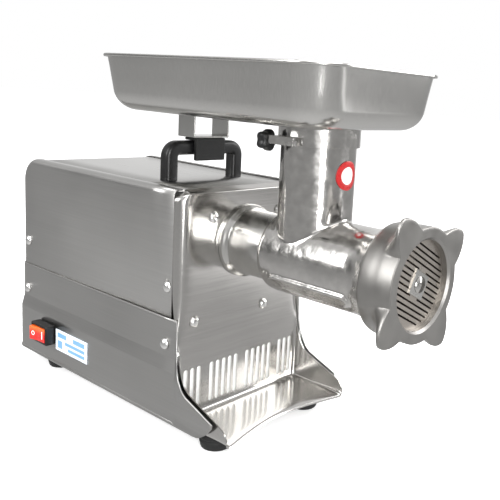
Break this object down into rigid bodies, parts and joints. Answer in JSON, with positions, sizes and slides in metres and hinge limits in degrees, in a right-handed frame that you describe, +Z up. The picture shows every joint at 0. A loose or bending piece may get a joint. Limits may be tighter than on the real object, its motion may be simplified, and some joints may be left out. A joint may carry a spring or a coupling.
{
  "type": "electric meat grinder",
  "caption": "Free-standing electric meat grinder: sheet body with drip apron, bored head with ring nut and hole plate, feed tray, carry handle.",
  "frame": {"origin": "middle of the object's box in plan, on the surface that the feet stand on", "axes": "+Z up, -Y the way the meat comes out (front), +X right seen from the front"},
  "size_m": [0.192, 0.5092, 0.3539],
  "materials": {
    "sheet_steel": "brushed stainless sheet",
    "polished_steel": "polished stainless sheet",
    "tray_steel": "polished stainless sheet",
    "cast_metal": "polished casting",
    "bolt_steel": "polished domed bolt",
    "tool_steel": "ground steel",
    "gear_steel": "machined steel",
    "motor_iron": "laminated iron",
    "black_plastic": "black moulded plastic",
    "red_rocker": "red translucent rocker",
    "label": "white plate with plain blue blocks",
    "badge": "white disc with a plain red ring",
    "nylon": "natural nylon",
    "foot_rubber": "black rubber"
  },
  "bodies": {
    "chassis": {"base_pan": "sheet_steel", "base_plate": "sheet_steel", "side_panel_left": "sheet_steel", "side_panel_right": "sheet_steel", "top_cover": "sheet_steel", "rear_panel": "sheet_steel", "front_plate": "polished_steel", "carry_handle": "black_plastic", "foot_front_left": "foot_rubber", "foot_front_right": "foot_rubber", "foot_rear_left": "foot_rubber", "foot_rear_right": "foot_rubber", "label_plate": "label", "switch_housing": "black_plastic", "cable_gland": "black_plastic", "head_neck": "cast_metal", "motor_stator": "motor_iron", "motor_cap_front": "cast_metal", "motor_cap_rear": "cast_metal", "capacitor": "label", "gearbox_case": "cast_metal", "gearbox_cover": "cast_metal", "output_bearing": "gear_steel", "oil_seal": "foot_rubber", "side_bolt_left_1": "bolt_steel", "side_bolt_left_2": "bolt_steel", "side_bolt_left_3": "bolt_steel", "side_bolt_left_4": "bolt_steel", "side_bolt_right_1": "bolt_steel", "side_bolt_right_2": "bolt_steel", "side_bolt_right_3": "bolt_steel", "side_bolt_right_4": "bolt_steel", "front_bolt_1": "bolt_steel", "front_bolt_2": "bolt_steel", "front_bolt_3": "bolt_steel", "front_bolt_4": "bolt_steel"},
    "rotor": {"motor_rotor": "motor_iron", "motor_fan": "black_plastic"},
    "countershaft": {"countershaft": "gear_steel"},
    "output": {"output_gear": "gear_steel", "output_shaft": "gear_steel"},
    "rocker": {"switch_rocker": "red_rocker"},
    "head_lock": {"head_lock_knob": "black_plastic"},
    "head": {"head_barrel": "cast_metal", "auger_bush": "nylon", "hole_plate": "tool_steel", "throat_badge": "badge"},
    "worm": {"auger": "cast_metal", "cross_knife": "tool_steel"},
    "nut": {"ring_nut": "cast_metal"},
    "tray": {"feed_tray": "tray_steel", "tray_collar": "cast_metal", "tray_bracket": "sheet_steel", "tray_saddle": "foot_rubber"},
    "tray_clamp": {"tray_knob": "black_plastic"}
  },
  "joints": [
    {"name": "output_spin", "type": "hinge", "parent": "chassis", "child": "output", "pos_m": [0.00426, -0.02615, 0.1818], "axis": [0, -1, 0], "continuous": true},
    {"name": "countershaft_spin", "type": "hinge", "parent": "chassis", "child": "countershaft", "pos_m": [0.02341, -0.02615, 0.12918], "axis": [0, -1, 0], "continuous": true},
    {"name": "rotor_spin", "type": "hinge", "parent": "chassis", "child": "rotor", "pos_m": [0.00426, 0.08385, 0.08516], "axis": [0, -1, 0], "continuous": true},
    {"name": "head_slide", "type": "slide", "parent": "chassis", "child": "head", "axis": [0, -1, 0], "range_m": [0, 0.055]},
    {"name": "worm_spin", "type": "hinge", "parent": "head", "child": "worm", "pos_m": [0.00426, -0.14615, 0.1818], "axis": [0, -1, 0], "continuous": true},
    {"name": "nut_turn", "type": "hinge", "parent": "head", "child": "nut", "pos_m": [0.00426, -0.23615, 0.1818], "axis": [0, -1, 0], "continuous": true},
    {"name": "tray_lift", "type": "slide", "parent": "head", "child": "tray", "axis": [0, 0, 1], "range_m": [0, 0.05]},
    {"name": "tray_clamp_turn", "type": "hinge", "parent": "tray", "child": "tray_clamp", "pos_m": [-0.03724, -0.10915, 0.2868], "axis": [0, 1, 0], "continuous": true},
    {"name": "head_lock_turn", "type": "hinge", "parent": "chassis", "child": "head_lock", "pos_m": [0.05426, -0.07015, 0.1818], "axis": [1, 0, 0], "continuous": true},
    {"name": "switch_rock", "type": "hinge", "parent": "chassis", "child": "rocker", "pos_m": [-0.08824, 0.17185, 0.0488], "axis": [0, 0, 1], "range_deg": [-16, 0]}
  ],
  "couplings": [
    {"joint": "countershaft_spin", "follows": "output_spin", "ratio": -3},
    {"joint": "rotor_spin", "follows": "output_spin", "ratio": 9},
    {"joint": "worm_spin", "follows": "output_spin", "ratio": 1}
  ]
}
